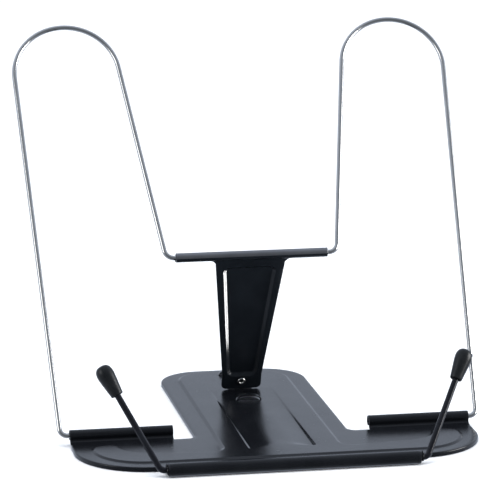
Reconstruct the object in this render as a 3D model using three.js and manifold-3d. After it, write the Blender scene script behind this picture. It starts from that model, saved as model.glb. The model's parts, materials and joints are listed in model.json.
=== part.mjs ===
// Photo album stand: pressed steel base, folding wire back frame, prop with a foot hook,
// and two page arms with rubber caps. Millimetres, +X right, +Y back, +Z up.
// The origin is the bottom centre of the whole stand as it stands in use.
import * as THREE from 'three';
import { mergeVertices } from 'three/addons/utils/BufferGeometryUtils.js';
import Module from 'manifold-3d';

const wasm = await Module();
wasm.setup();

// Overall placing: the back frame hinges on one axis along X.
const HINGE_Y = -40.6;
const HINGE_Z = 7;
const LEAN = THREE.MathUtils.degToRad(56.2);

// Wire and sheet stock.
const WIRE_R = 1.6;
const ARM_R = 2.05;
const SHEET = 1;
const CURL_WALL = 1.2;
const WIRE_SIDES = 12;

// Base plate, measured from the hinge axis in Y and from the table in Z.
const BASE_TOP = 3;
const PANEL_RAISE = 0.6;
const WING_HALF = 134;
const WING_FRONT = -69.8;
const WING_CORNER = 47.5;
const NECK_BACK = -6;
const TONGUE_HALF = 51.2;
const TONGUE_BACK = 166.9;
const TONGUE_CORNER = 29.3;
const NECK_FILLET = 6;

// Front roll, the hem the page arms turn in.
const ROLL_HALF = 83;
const ROLL_Y = -81.5;
const ROLL_R = 4.3;

// Hinge barrels on the back edges of the wings.
const BARREL_IN = 65.8;
const BARREL_OUT = 134;
const BARREL_R = 3.7;
const BARREL_NECK = -3.3;
const BARREL_TOE = -6.4;

// Pressed panel, channel and catch louvres on the tongue.
const PANEL_HALF = 38.5;
const PANEL_FRONT = -59.5;
const PANEL_WING_BACK = -16;
const PANEL_WING_END = 122;
const PANEL_TIP_X = 110;
const PANEL_BAND_BACK = -43;
const PANEL_INNER_CORNER = 9;
const PANEL_TIP_CORNER = 7;
const PANEL_BACK = 156;
const PANEL_CORNER = 19;
const CHANNEL_HALF = 21.6;
const CHANNEL_FRONT = -40;
const CHANNEL_BACK = 66;
const LOUVRE_MOUTHS = [78.5, 113, 147.5];
const LOUVRE_HALF = 9;
const LOUVRE_RISE = 3.7;
const LOUVRE_LENGTH = 12;

// Back frame, measured in its own leaning plane from the hinge axis.
const LEG_HALF = 140;
const LEG_BEND = 5;
const LEG_END = 74;
const EAR_HALF = 114.5;
const EAR_UP = 259.1;
const EAR_R = 36.2;
const BAR_HALF = 58.7;
const BAR_UP = 121.6;
const BAR_BEND = 6.5;

// Prop, measured along its own length from the bar axis.
const PROP_LEAN = THREE.MathUtils.degToRad(20.5);
const PROP_CURL_R = 3.2;
const PROP_CURL_HALF = 52;
const PROP_TOP_HALF = 24.9;
const PROP_FOOT_HALF = 13.9;
const PROP_TAPER_END = 100;
const PROP_END = 111.7;
const PROP_FLANGE = 5.2;
const DISH_DEPTH = 1.4;
const RIVET_DOWN = 105.4;
const RIVET_R = 2.6;
const HOOK_TOP = 101;
const HOOK_END = 112;
const HOOK_HALF = 4.5;
const HOOK_REACH = 2.7;

// Page arms and caps, measured from the roll axis.
const ARM_LEAN = THREE.MathUtils.degToRad(28.2);
const ARM_SPLAY = THREE.MathUtils.degToRad(25.6);
const ARM_ROOT = 86.4;
const ARM_BEND = 4.2;
const ARM_LENGTH = 73;
const ARM_TAIL = 40;
const CAP_START = 55.3;
const CAP_LENGTH = 21.3;

function material(color, roughness, metalness) {
  return new THREE.MeshStandardMaterial({ color, roughness, metalness });
}

function named(name, geometry, look) {
  const node = new THREE.Mesh(geometry, look);
  node.name = name;
  return node;
}

// Solid of a closed surface, ready to be added to or cut.
function solid(geometry) {
  const bare = geometry.clone();
  bare.deleteAttribute('normal');
  bare.deleteAttribute('uv');
  const merged = mergeVertices(bare, 1e-4);
  return new wasm.Manifold(new wasm.Mesh({
    numProp: 3,
    vertProperties: new Float32Array(merged.attributes.position.array),
    triVerts: new Uint32Array(merged.index.array),
  }));
}

function surface(body) {
  const mesh = body.getMesh();
  const geometry = new THREE.BufferGeometry();
  geometry.setAttribute('position', new THREE.BufferAttribute(mesh.vertProperties, 3));
  geometry.setIndex(new THREE.BufferAttribute(mesh.triVerts, 1));
  geometry.computeVertexNormals();
  return geometry;
}

function joined(first, ...rest) {
  return rest.reduce((body, next) => body.add(next), first);
}

function box(x0, x1, y0, y1, z0, z1) {
  const geometry = new THREE.BoxGeometry(x1 - x0, y1 - y0, z1 - z0);
  geometry.translate((x0 + x1) / 2, (y0 + y1) / 2, (z0 + z1) / 2);
  return solid(geometry);
}

function slab(shape, z0, z1, curveSegments = 12) {
  const geometry = new THREE.ExtrudeGeometry(shape, {
    depth: z1 - z0,
    bevelEnabled: false,
    curveSegments,
  });
  geometry.translate(0, 0, z0);
  return solid(geometry);
}

// Slab whose lower outline is the shape and whose sides lean out by `spread` over `rise`.
function flaredSlab(shape, z0, rise, spread, extra, curveSegments = 8) {
  const geometry = new THREE.ExtrudeGeometry(shape, {
    depth: extra,
    bevelEnabled: true,
    bevelThickness: rise,
    bevelSize: spread,
    bevelSegments: 1,
    curveSegments,
  });
  geometry.translate(0, 0, z0 + rise);
  return solid(geometry);
}

// Same, upside down: widest at the bottom, narrowing to the shape at the top.
function taperedSlab(shape, zTop, rise, spread, extra, curveSegments = 8) {
  const geometry = new THREE.ExtrudeGeometry(shape, {
    depth: extra,
    bevelEnabled: true,
    bevelThickness: rise,
    bevelSize: spread,
    bevelSegments: 1,
    curveSegments,
  });
  geometry.translate(0, 0, zTop - rise - extra);
  return solid(geometry);
}

function mirrorX(shape) {
  return new THREE.Shape(shape.getPoints(12).map((p) => new THREE.Vector2(-p.x, p.y)).reverse());
}

// Section in the Y-Z plane drawn as (y, z), swept along X from x0 to x1.
function bar(section, x0, x1, curveSegments = 8) {
  const geometry = new THREE.ExtrudeGeometry(section, {
    depth: x1 - x0,
    bevelEnabled: false,
    curveSegments,
  });
  geometry.rotateZ(Math.PI / 2);
  geometry.rotateY(Math.PI / 2);
  geometry.translate(x0, 0, 0);
  return solid(geometry);
}

// Open curl: part of a ring between two angles, in degrees from +Y towards +Z.
function curlSection(y, z, outer, wall, from, to) {
  const a = THREE.MathUtils.degToRad(from);
  const b = THREE.MathUtils.degToRad(to);
  const shape = new THREE.Shape();
  shape.absarc(y, z, outer, a, b, false);
  shape.absarc(y, z, outer - wall, b, a, true);
  shape.closePath();
  return shape;
}

function boxSection(y0, y1, z0, z1) {
  const shape = new THREE.Shape();
  shape.moveTo(y0, z0);
  shape.lineTo(y1, z0);
  shape.lineTo(y1, z1);
  shape.lineTo(y0, z1);
  shape.closePath();
  return shape;
}

// Path given by stations that each carry a point and a heading.
class StationPath extends THREE.Curve {
  constructor(stations) {
    super();
    this.stations = stations;
  }

  at(u) {
    return this.stations[Math.round(u * (this.stations.length - 1))];
  }

  getPoint(u, target = new THREE.Vector3()) {
    return target.copy(this.at(u).point);
  }

  getPointAt(u, target) {
    return this.getPoint(u, target);
  }

  getTangent(u, target = new THREE.Vector3()) {
    return target.copy(this.at(u).heading);
  }

  getTangentAt(u, target) {
    return this.getTangent(u, target);
  }
}

function arcStations(start, from, to, radius, count) {
  const turn = from.angleTo(to);
  const stations = [];
  const inward = (f) => from.clone().multiplyScalar(-Math.cos((1 - f) * turn))
    .addScaledVector(to, Math.cos(f * turn)).divideScalar(Math.sin(turn));
  const centre = start.clone().addScaledVector(inward(0), radius);
  for (let i = 0; i <= count; i += 1) {
    const f = i / count;
    const heading = from.clone().multiplyScalar(Math.sin((1 - f) * turn))
      .addScaledVector(to, Math.sin(f * turn)).divideScalar(Math.sin(turn));
    stations.push({ point: centre.clone().addScaledVector(inward(f), -radius), heading });
  }
  return stations;
}

function bendStations(before, corner, after, radius, count) {
  const from = corner.clone().sub(before).normalize();
  const to = after.clone().sub(corner).normalize();
  const reach = radius * Math.tan(from.angleTo(to) / 2);
  return arcStations(corner.clone().addScaledVector(from, -reach), from, to, radius, count);
}

function endStation(point, towards, sign) {
  return { point, heading: towards.clone().sub(point).normalize().multiplyScalar(sign) };
}

function circlePoints(radius, sides) {
  const points = [];
  for (let i = 0; i < sides; i += 1) {
    const a = (i / sides) * Math.PI * 2;
    points.push(new THREE.Vector2(radius * Math.cos(a), radius * Math.sin(a)));
  }
  return points;
}

function wire(stations, radius, sides = WIRE_SIDES) {
  return new THREE.ExtrudeGeometry(new THREE.Shape(circlePoints(radius, sides)), {
    steps: stations.length - 1,
    extrudePath: new StationPath(stations),
  });
}

// ---- base plate ---------------------------------------------------------------------------

function baseOutline(inset) {
  const shape = new THREE.Shape();
  const wing = WING_HALF - inset;
  const front = WING_FRONT + inset;
  const cornerX = WING_HALF - WING_CORNER;
  const cornerY = WING_FRONT + WING_CORNER;
  const tongue = TONGUE_HALF - inset;
  const rollEnd = ROLL_HALF - inset;
  const rollEdge = ROLL_Y + ROLL_R - 0.7;
  const neck = NECK_BACK - inset;
  const fillet = NECK_FILLET + inset;
  shape.moveTo(-rollEnd, rollEdge);
  shape.lineTo(rollEnd, rollEdge);
  shape.lineTo(rollEnd, front - 2 + inset);
  shape.lineTo(rollEnd + 2, front);
  shape.lineTo(cornerX, front);
  shape.absarc(cornerX, cornerY, WING_CORNER - inset, -Math.PI / 2, 0, false);
  shape.lineTo(wing, neck);
  shape.absarc(tongue + fillet, neck + fillet, fillet, -Math.PI / 2, -Math.PI, true);
  shape.absarc(TONGUE_HALF - TONGUE_CORNER, TONGUE_BACK - TONGUE_CORNER,
    TONGUE_CORNER - inset, 0, Math.PI / 2, false);
  shape.absarc(TONGUE_CORNER - TONGUE_HALF, TONGUE_BACK - TONGUE_CORNER,
    TONGUE_CORNER - inset, Math.PI / 2, Math.PI, false);
  shape.absarc(-tongue - fillet, neck + fillet, fillet, 0, -Math.PI / 2, true);
  shape.lineTo(-wing, neck);
  shape.absarc(-cornerX, cornerY, WING_CORNER - inset, Math.PI, Math.PI * 1.5, false);
  shape.lineTo(-rollEnd - 2, front);
  shape.lineTo(-rollEnd, front - 2 + inset);
  shape.closePath();
  return shape;
}

// One T-shaped pressed panel: a long tongue strip on a front band whose ends swell to round tips.
function panelOutline(inset) {
  const shape = new THREE.Shape();
  const frontX = PANEL_WING_END - 33;
  const frontY = PANEL_FRONT + 33;
  const tipY = PANEL_WING_BACK - 9;
  const tipLeft = PANEL_TIP_X - 9 - PANEL_TIP_CORNER;
  const tipLow = PANEL_BAND_BACK + PANEL_TIP_CORNER;
  const strip = PANEL_HALF + PANEL_INNER_CORNER;
  const stripLow = PANEL_BAND_BACK + PANEL_INNER_CORNER;
  const tongueX = PANEL_HALF - PANEL_CORNER;
  const tongueY = PANEL_BACK - PANEL_CORNER;
  const right = Math.PI / 2;
  shape.moveTo(-frontX, PANEL_FRONT + inset);
  shape.absarc(frontX, frontY, 33 - inset, -right, 0, false);
  shape.absarc(PANEL_WING_END - 9, tipY, 9 - inset, 0, right, false);
  shape.absarc(PANEL_TIP_X, tipY, 9 - inset, right, 2 * right, false);
  shape.absarc(tipLeft, tipLow, PANEL_TIP_CORNER + inset, 0, -right, true);
  shape.absarc(strip, stripLow, PANEL_INNER_CORNER + inset, -right, -2 * right, true);
  shape.absarc(tongueX, tongueY, PANEL_CORNER - inset, 0, right, false);
  shape.absarc(-tongueX, tongueY, PANEL_CORNER - inset, right, 2 * right, false);
  shape.absarc(-strip, stripLow, PANEL_INNER_CORNER + inset, 0, -right, true);
  shape.absarc(-tipLeft, tipLow, PANEL_TIP_CORNER + inset, -right, -2 * right, true);
  shape.absarc(-PANEL_TIP_X, tipY, 9 - inset, 0, right, false);
  shape.absarc(9 - PANEL_WING_END, tipY, 9 - inset, right, 2 * right, false);
  shape.absarc(-frontX, frontY, 33 - inset, 2 * right, 3 * right, false);
  shape.closePath();
  return shape;
}

// Wedge that opens a shallow channel, deepest at its front end.
function channelWedge() {
  const section = new THREE.Shape();
  section.moveTo(CHANNEL_FRONT - 5, BASE_TOP + PANEL_RAISE + 0.01);
  section.lineTo(CHANNEL_FRONT, BASE_TOP - 0.1);
  section.lineTo(CHANNEL_BACK, BASE_TOP + PANEL_RAISE + 0.01);
  section.lineTo(CHANNEL_BACK, BASE_TOP + PANEL_RAISE + 2);
  section.lineTo(CHANNEL_FRONT - 5, BASE_TOP + PANEL_RAISE + 2);
  section.closePath();
  return bar(section, -CHANNEL_HALF, CHANNEL_HALF);
}

function louvreBody(mouth, shrink) {
  const geometry = new THREE.SphereGeometry(1, 20, 12);
  geometry.scale(LOUVRE_HALF - shrink, LOUVRE_LENGTH - shrink, LOUVRE_RISE - shrink);
  geometry.translate(0, mouth, BASE_TOP + PANEL_RAISE);
  return solid(geometry);
}

function withLouvres(body) {
  return LOUVRE_MOUTHS.reduce((plate, mouth) => {
    const keep = box(-12, 12, mouth, mouth + 20, BASE_TOP + PANEL_RAISE - 0.4, 12);
    const hollow = louvreBody(mouth, SHEET).intersect(box(-12, 12, mouth - 0.6, mouth + 20, 0, 12));
    return plate.add(louvreBody(mouth, 0).intersect(keep)).subtract(hollow);
  }, body);
}

function rim() {
  const wall = slab(baseOutline(0), 0, BASE_TOP - 0.5, 10)
    .subtract(slab(baseOutline(SHEET), -1, BASE_TOP, 10));
  const frontOpen = box(-ROLL_HALF + 1, ROLL_HALF - 1, ROLL_Y - 2, WING_FRONT + 1.5, -2, BASE_TOP);
  const hingeOpen = (x0, x1) => box(x0, x1, NECK_BACK - SHEET - 0.2, NECK_BACK + 1,
    -2, BASE_TOP - SHEET);
  return wall.subtract(frontOpen)
    .subtract(hingeOpen(BARREL_IN + 0.6, WING_HALF - SHEET))
    .subtract(hingeOpen(-WING_HALF + SHEET, -BARREL_IN - 0.6));
}

// The plate's back edge turns up in a hollow bend, then curls backwards over the wire.
function hingeBarrel(x0, x1) {
  const bend = HINGE_Z - BASE_TOP - 2;
  const last = THREE.MathUtils.degToRad(-70);
  const shape = new THREE.Shape();
  shape.moveTo(BARREL_TOE - 0.4, BASE_TOP - 0.7);
  for (let i = 0; i <= 6; i += 1) {
    const turn = (Math.PI / 2) * (i / 6);
    shape.lineTo(BARREL_TOE + (BARREL_NECK - BARREL_TOE) * Math.sin(turn),
      BASE_TOP - 0.04 + bend * (1 - Math.cos(turn)));
  }
  shape.absarc(0, HINGE_Z, BARREL_R, THREE.MathUtils.degToRad(207), last, true);
  shape.absarc(0, HINGE_Z, BARREL_R - CURL_WALL, last, THREE.MathUtils.degToRad(200), false);
  shape.lineTo(BARREL_NECK + 1.15, BASE_TOP + 2.1);
  shape.lineTo(BARREL_NECK + 1, BASE_TOP + 1.1);
  shape.lineTo(BARREL_NECK + 0.3, BASE_TOP);
  shape.lineTo(BARREL_TOE + 1.5, BASE_TOP - SHEET);
  shape.closePath();
  return bar(shape, x0, x1);
}

function basePlate() {
  const sheet = slab(baseOutline(0), BASE_TOP - SHEET, BASE_TOP, 10);
  const raised = taperedSlab(panelOutline(0), BASE_TOP + PANEL_RAISE, PANEL_RAISE, 0.7, 0.6);
  const under = taperedSlab(panelOutline(2), BASE_TOP + PANEL_RAISE - SHEET, PANEL_RAISE, 0.7, 2);
  const channelFloor = box(-CHANNEL_HALF - 1, CHANNEL_HALF + 1, CHANNEL_FRONT - 12,
    CHANNEL_BACK, BASE_TOP - SHEET, BASE_TOP);
  const roll = bar(curlSection(ROLL_Y, ROLL_R, ROLL_R, CURL_WALL, -28, 302),
    -ROLL_HALF, ROLL_HALF);
  const pressed = sheet.add(raised).subtract(under).add(channelFloor).subtract(channelWedge());
  const folded = joined(withLouvres(pressed), rim(), roll,
    hingeBarrel(BARREL_IN, BARREL_OUT), hingeBarrel(-BARREL_OUT, -BARREL_IN));
  return surface(folded.translate([0, HINGE_Y, 0]));
}

// ---- wire back frame ------------------------------------------------------------------------

function framePoint(u, v) {
  return new THREE.Vector3(u, HINGE_Y + v * Math.cos(LEAN), HINGE_Z + v * Math.sin(LEAN));
}

// Point where a line from (u, v) touches the ear's round top; side is +1 outside, -1 inside.
function earTouch(u, v, side) {
  const away = Math.atan2(v - EAR_UP, u - EAR_HALF);
  const half = Math.acos(EAR_R / Math.hypot(u - EAR_HALF, v - EAR_UP));
  const a = away + side * half;
  return [EAR_HALF + EAR_R * Math.cos(a), EAR_UP + EAR_R * Math.sin(a)];
}

// Right half from the middle of the bar round the ear and down to the barrel.
function halfFrame() {
  const middle = framePoint(0, BAR_UP);
  const barCorner = framePoint(BAR_HALF, BAR_UP);
  const innerTouch = framePoint(...earTouch(BAR_HALF, BAR_UP, -1));
  const outerTouch = framePoint(...earTouch(LEG_HALF, 0, 1));
  const legCorner = framePoint(LEG_HALF, 0);
  const end = framePoint(LEG_END, 0);
  const up = innerTouch.clone().sub(barCorner).normalize();
  const down = legCorner.clone().sub(outerTouch).normalize();
  return [
    ...bendStations(middle, barCorner, innerTouch, BAR_BEND, 7),
    ...arcStations(innerTouch, up, down, EAR_R, 26),
    ...bendStations(outerTouch, legCorner, end, LEG_BEND, 7),
    endStation(end, legCorner, -1),
  ];
}

function wireFrame() {
  const right = halfFrame();
  const left = right.slice().reverse().map((s) => ({
    point: new THREE.Vector3(-s.point.x, s.point.y, s.point.z),
    heading: new THREE.Vector3(s.heading.x, -s.heading.y, -s.heading.z),
  }));
  return wire([...left, ...right], WIRE_R);
}

// ---- prop, hook and rivet --------------------------------------------------------------------

// Prop parts are drawn flat: x across, y up along the prop from the bar axis, z to the front.
function placeOnProp(geometry) {
  const at = framePoint(0, BAR_UP);
  geometry.rotateX(Math.PI / 2 + PROP_LEAN);
  geometry.translate(at.x, at.y, at.z);
  return geometry;
}

function propHalf(down) {
  const taper = (PROP_TOP_HALF - PROP_FOOT_HALF) / PROP_TAPER_END;
  return Math.max(PROP_FOOT_HALF, PROP_TOP_HALF - taper * down);
}

function propOutline() {
  const shape = new THREE.Shape();
  const corner = 3.5;
  const neck = propHalf(PROP_FLANGE + 4);
  shape.moveTo(-PROP_CURL_HALF, 0);
  shape.lineTo(-PROP_CURL_HALF, -PROP_FLANGE + 0.6);
  shape.lineTo(-PROP_CURL_HALF + 0.6, -PROP_FLANGE);
  shape.absarc(-neck - 4, -PROP_FLANGE - 4, 4, Math.PI / 2, 0, true);
  shape.lineTo(-PROP_FOOT_HALF, -PROP_TAPER_END);
  shape.absarc(-PROP_FOOT_HALF + corner, -PROP_END + corner, corner,
    Math.PI, Math.PI * 1.5, false);
  shape.absarc(PROP_FOOT_HALF - corner, -PROP_END + corner, corner,
    -Math.PI / 2, 0, false);
  shape.lineTo(PROP_FOOT_HALF, -PROP_TAPER_END);
  shape.absarc(neck + 4, -PROP_FLANGE - 4, 4, Math.PI, Math.PI / 2, true);
  shape.lineTo(PROP_CURL_HALF - 0.6, -PROP_FLANGE);
  shape.lineTo(PROP_CURL_HALF, -PROP_FLANGE + 0.6);
  shape.lineTo(PROP_CURL_HALF, 0);
  shape.closePath();
  return shape;
}

// Dished panel down the middle of the prop, with rounded corners.
function dishOutline(grow) {
  const shape = new THREE.Shape();
  const top = -13.5 + grow;
  const bottom = -97.5 - grow;
  const topHalf = 16.8 + grow;
  const bottomHalf = 8 + grow;
  const r = 2;
  shape.moveTo(-bottomHalf + r, bottom);
  shape.lineTo(bottomHalf - r, bottom);
  shape.quadraticCurveTo(bottomHalf, bottom, bottomHalf + 0.2, bottom + r);
  shape.lineTo(topHalf - 0.2, top - r);
  shape.quadraticCurveTo(topHalf, top, topHalf - r, top);
  shape.lineTo(-topHalf + r, top);
  shape.quadraticCurveTo(-topHalf, top, -topHalf + 0.2, top - r);
  shape.lineTo(-bottomHalf - 0.2, bottom + r);
  shape.quadraticCurveTo(-bottomHalf, bottom, -bottomHalf + r, bottom);
  return shape;
}

function rivetHole(radius, z0, z1) {
  const geometry = new THREE.CylinderGeometry(radius, radius, z1 - z0, 20);
  geometry.rotateX(Math.PI / 2);
  geometry.translate(0, -RIVET_DOWN, (z0 + z1) / 2);
  return solid(geometry);
}

function propPlate() {
  const front = -PROP_CURL_R + CURL_WALL;
  const back = front - SHEET;
  const plate = slab(propOutline(), back, front, 6);
  const bump = flaredSlab(dishOutline(1), back - DISH_DEPTH, DISH_DEPTH + 0.3, 1.7, 0.1, 3);
  const dish = flaredSlab(dishOutline(0), front - DISH_DEPTH, DISH_DEPTH, 2, 3, 3);
  const curl = new THREE.ExtrudeGeometry(
    curlSection(0, 0, PROP_CURL_R, CURL_WALL, -65, 180),
    { depth: 2 * PROP_CURL_HALF, bevelEnabled: false, curveSegments: 9 },
  );
  curl.rotateY(-Math.PI / 2);
  curl.translate(PROP_CURL_HALF, 0, 0);
  const body = joined(plate, bump.intersect(box(-60, 60, -130, 20, -9, front)), solid(curl))
    .subtract(dish.intersect(box(-60, 60, -130, 20, -9, 0)))
    .subtract(rivetHole(1.7, -9, 9));
  return placeOnProp(surface(body));
}

// Small plate behind the foot whose lower tab reaches level towards a louvre's mouth.
function footHook() {
  const front = -PROP_CURL_R + CURL_WALL - SHEET - 0.3;
  const back = front - SHEET;
  const level = [-Math.sin(PROP_LEAN), -Math.cos(PROP_LEAN)];
  const upright = [Math.cos(PROP_LEAN), -Math.sin(PROP_LEAN)];
  const tip = [-HOOK_END + HOOK_REACH * level[0], front + HOOK_REACH * level[1]];
  const tipTop = [tip[0] + SHEET * upright[0], tip[1] + SHEET * upright[1]];
  const inner = (back - tipTop[1]) / -level[1];
  const section = new THREE.Shape();
  section.moveTo(-HOOK_TOP, front);
  section.lineTo(-HOOK_END, front);
  section.lineTo(tip[0], tip[1]);
  section.lineTo(tipTop[0], tipTop[1]);
  section.lineTo(tipTop[0] - inner * level[0], back);
  section.lineTo(-HOOK_TOP, back);
  section.closePath();
  const body = bar(section, -HOOK_HALF, HOOK_HALF).subtract(rivetHole(1.7, -12, 9));
  return placeOnProp(surface(body));
}

// Hollow rivet: a bright ring on the front of the foot, spread flat behind the hook plate.
function footRivet() {
  const front = -PROP_CURL_R + CURL_WALL;
  const back = front - 2 * SHEET - 0.3;
  const profile = [
    [0.9, front - 0.2],
    [0.9, back - 0.9],
    [2.3, back - 0.9],
    [2.5, back - 0.3],
    [1.4, back - 0.3],
    [1.4, front + 0.3],
    [RIVET_R + 0.2, front + 0.3],
    [RIVET_R, front + 0.8],
    [1.8, front + 1.1],
    [1.1, front + 0.7],
    [0.9, front - 0.2],
  ];
  const geometry = new THREE.LatheGeometry(profile.map(([r, h]) => new THREE.Vector2(r, h)), 20);
  geometry.rotateX(Math.PI / 2);
  geometry.translate(0, -RIVET_DOWN, 0);
  return placeOnProp(geometry);
}

// ---- page arms and caps ----------------------------------------------------------------------

function rollCentre(x) {
  return new THREE.Vector3(x, HINGE_Y + ROLL_Y, ROLL_R);
}

function armHeading(side) {
  return new THREE.Vector3(
    side * Math.sin(ARM_SPLAY),
    Math.cos(ARM_SPLAY) * Math.sin(ARM_LEAN),
    Math.cos(ARM_SPLAY) * Math.cos(ARM_LEAN),
  );
}

function armAt(side, distance) {
  return rollCentre(side * ARM_ROOT).addScaledVector(armHeading(side), distance);
}

function pageArm(side) {
  const inner = rollCentre(side * ARM_TAIL);
  const root = rollCentre(side * ARM_ROOT);
  const tip = armAt(side, ARM_LENGTH);
  return wire([
    endStation(inner, root, 1),
    ...bendStations(inner, root, tip, ARM_BEND, 7),
    endStation(tip, root, -1),
  ], ARM_R);
}

function capProfile() {
  const gap = ARM_R + 0.35;
  const depth = ARM_LENGTH - CAP_START + 0.35;
  return [
    [0, depth],
    [gap, depth],
    [gap, 0],
    [3.7, 0],
    [3.95, 0.4],
    [4.9, 7.4],
    [5.55, 12.7],
    [5.7, 14.8],
    [5.4, 17.2],
    [4.5, 19.3],
    [3, 20.8],
    [1.4, CAP_LENGTH],
    [0, CAP_LENGTH],
  ].map(([r, h]) => new THREE.Vector2(r, h));
}

function armCap(side) {
  const geometry = new THREE.LatheGeometry(capProfile(), 24);
  const turn = new THREE.Quaternion()
    .setFromUnitVectors(new THREE.Vector3(0, 1, 0), armHeading(side));
  geometry.applyQuaternion(turn);
  const at = armAt(side, CAP_START);
  geometry.translate(at.x, at.y, at.z);
  return geometry;
}

const blackPaint = () => material(0x1b1e23, 0.42, 0.35);
const chrome = () => material(0xc9ccd1, 0.16, 1);
const blackWire = () => material(0x1a1d21, 0.4, 0.3);
const rubber = () => material(0x202327, 0.55, 0);

const stand = new THREE.Group();
stand.name = 'photo_album_stand';
stand.add(
  named('base_plate', basePlate(), blackPaint()),
  named('wire_frame', wireFrame(), chrome()),
  named('prop_plate', propPlate(), blackPaint()),
  named('foot_hook', footHook(), blackPaint()),
  named('foot_rivet', footRivet(), chrome()),
  named('page_arm_left', pageArm(-1), blackWire()),
  named('page_arm_right', pageArm(1), blackWire()),
  named('arm_cap_left', armCap(-1), rubber()),
  named('arm_cap_right', armCap(1), rubber()),
);

export default stand;
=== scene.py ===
"""Photo album stand: a pressed steel base, a folding wire back frame on a sheet prop, and two page arms.

Lengths in the drawing constants are millimetres in the CAD part's own frame; meshes are made in metres.
"""
import json
import math

import bmesh
import bpy
import numpy as np
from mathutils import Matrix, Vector
from mathutils.geometry import delaunay_2d_cdt


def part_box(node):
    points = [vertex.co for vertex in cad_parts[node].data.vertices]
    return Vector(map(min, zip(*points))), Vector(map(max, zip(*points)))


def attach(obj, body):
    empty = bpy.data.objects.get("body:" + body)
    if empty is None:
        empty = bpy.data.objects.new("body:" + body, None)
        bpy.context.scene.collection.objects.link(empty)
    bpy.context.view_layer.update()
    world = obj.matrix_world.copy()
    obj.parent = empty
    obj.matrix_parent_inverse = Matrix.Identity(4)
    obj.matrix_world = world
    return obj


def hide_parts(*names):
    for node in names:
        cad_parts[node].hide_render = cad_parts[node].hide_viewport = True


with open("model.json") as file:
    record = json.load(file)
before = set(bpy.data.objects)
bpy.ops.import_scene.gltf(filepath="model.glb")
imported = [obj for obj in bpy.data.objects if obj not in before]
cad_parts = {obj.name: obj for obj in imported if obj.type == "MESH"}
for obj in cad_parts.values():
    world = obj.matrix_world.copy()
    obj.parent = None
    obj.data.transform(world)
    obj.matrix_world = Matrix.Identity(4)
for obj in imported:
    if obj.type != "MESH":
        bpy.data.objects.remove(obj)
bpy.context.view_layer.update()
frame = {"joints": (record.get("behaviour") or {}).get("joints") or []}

MM = 0.001
JOINT = {joint["name"]: joint for joint in frame["joints"]}


def joint_yz(name):
    """A hinge axis along X, as (y, z) in millimetres."""
    pos = JOINT[name]["pos_m"]
    return pos[1] / MM, pos[2] / MM


HINGE_Y, HINGE_Z = joint_yz("frame_fold")
BAR_Y, BAR_Z = joint_yz("prop_swing")
ROLL_Y, ROLL_Z = joint_yz("arm_left_turn")
BASE_HIGH = np.array(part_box("base_plate")[1]) / MM

# Sheet and wire stock.
SHEET = 1.0
WIRE_R = 1.6
ARM_R = 2.05
LEAN = math.atan2(BAR_Z - HINGE_Z, BAR_Y - HINGE_Y)

# Base plate. Y values of the plate's features are measured from the hinge axis.
PLATE_TOP = 3.0
RIM_BEND = 0.9
WING_HALF = BASE_HIGH[0]
WING_FRONT = -69.4
WING_CORNER = 47.5
TONGUE_HALF = 51.2
TONGUE_BACK = BASE_HIGH[1] - HINGE_Y
TONGUE_CORNER = 29.3
NECK_BACK = -6.0
NECK_FILLET = 6.0
ROLL_HALF = 83.0
ROLL_R = ROLL_Z
ROLL_RISE_START = 8.0
ROLL_RISE_LENGTH = 9.2
ROLL_TURN = math.radians(245)
ROLL_CORNER = 4.0
BARREL_IN = 65.8
BARREL_OUT = WING_HALF
BARREL_R = 3.7
BARREL_NECK = -3.3
BARREL_TOE = -6.4
PANEL_STEP = 1.0
PANEL_STEP_RUN = 2.4
PANEL_HALF = 38.5
PANEL_FRONT = -59.5
PANEL_WING_BACK = -16.0
PANEL_WING_END = 122.0
PANEL_BAND_BACK = -43.1
PANEL_SLANT = 8.6
PANEL_FRONT_CORNER = 33.0
PANEL_TIP_CORNER = 9.0
PANEL_TIP_INNER = 5.5
PANEL_TIP_TURN = -10.0
PANEL_HOLLOW = (85.0, -17.3)
PANEL_HOLLOW_R = 20.0
PANEL_TONGUE_CORNER = 9.0
PANEL_BACK = 161.2
PANEL_CORNER = 23.0
CHANNEL_HALF = 21.6
CHANNEL_FRONT = -39.0
CHANNEL_BACK = 108.0
CHANNEL_DEPTH = 1.35
LOUVRE_MOUTHS = (78.5, 113.0, 147.5)
LOUVRE_HALF = 9.0
LOUVRE_RISE = 3.7
LOUVRE_LENGTH = 12.0

# Back frame, in its leaning plane from the hinge axis.
LEG_HALF = 140.0
LEG_BEND = 5.0
LEG_END = 74.0
EAR_HALF = 114.5
EAR_UP = 259.1
EAR_R = 36.2
BAR_HALF = 58.7
BAR_UP = math.hypot(BAR_Y - HINGE_Y, BAR_Z - HINGE_Z)
BAR_BEND = 6.5

# Prop, drawn flat from the bar axis: x across, y up the prop, z to the front.
PROP_LEAN = math.radians(20.5)
CURL_INNER = 2.1
CURL_TURN = math.radians(246)
CURL_HALF = 52.0
PROP_TOP_HALF = 24.9
PROP_FOOT_HALF = 13.9
PROP_TAPER_END = 100.0
PROP_END = 111.7
PROP_FLANGE = 5.2
DISH_TOP, DISH_BOTTOM = -13.5, -99.0
DISH_TOP_HALF, DISH_BOTTOM_HALF = 15.6, 8.1
DISH_CORNER = 2.4
DISH_DEPTH = 2.0
DISH_WALL = 2.9
RIVET_DOWN = 105.4
RIVET_HOLE_R = 1.75

# Page arms, from the roll axis.
ARM_LEAN = math.radians(28.2)
ARM_SPLAY = math.radians(25.6)
ARM_ROOT = 86.4
ARM_BEND = 4.2
ARM_LENGTH = 73.0
ARM_TAIL = 40.0
CAP_START = 55.3
CAP_LENGTH = 21.3


# ---- mesh helpers ---------------------------------------------------------------------------


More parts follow.
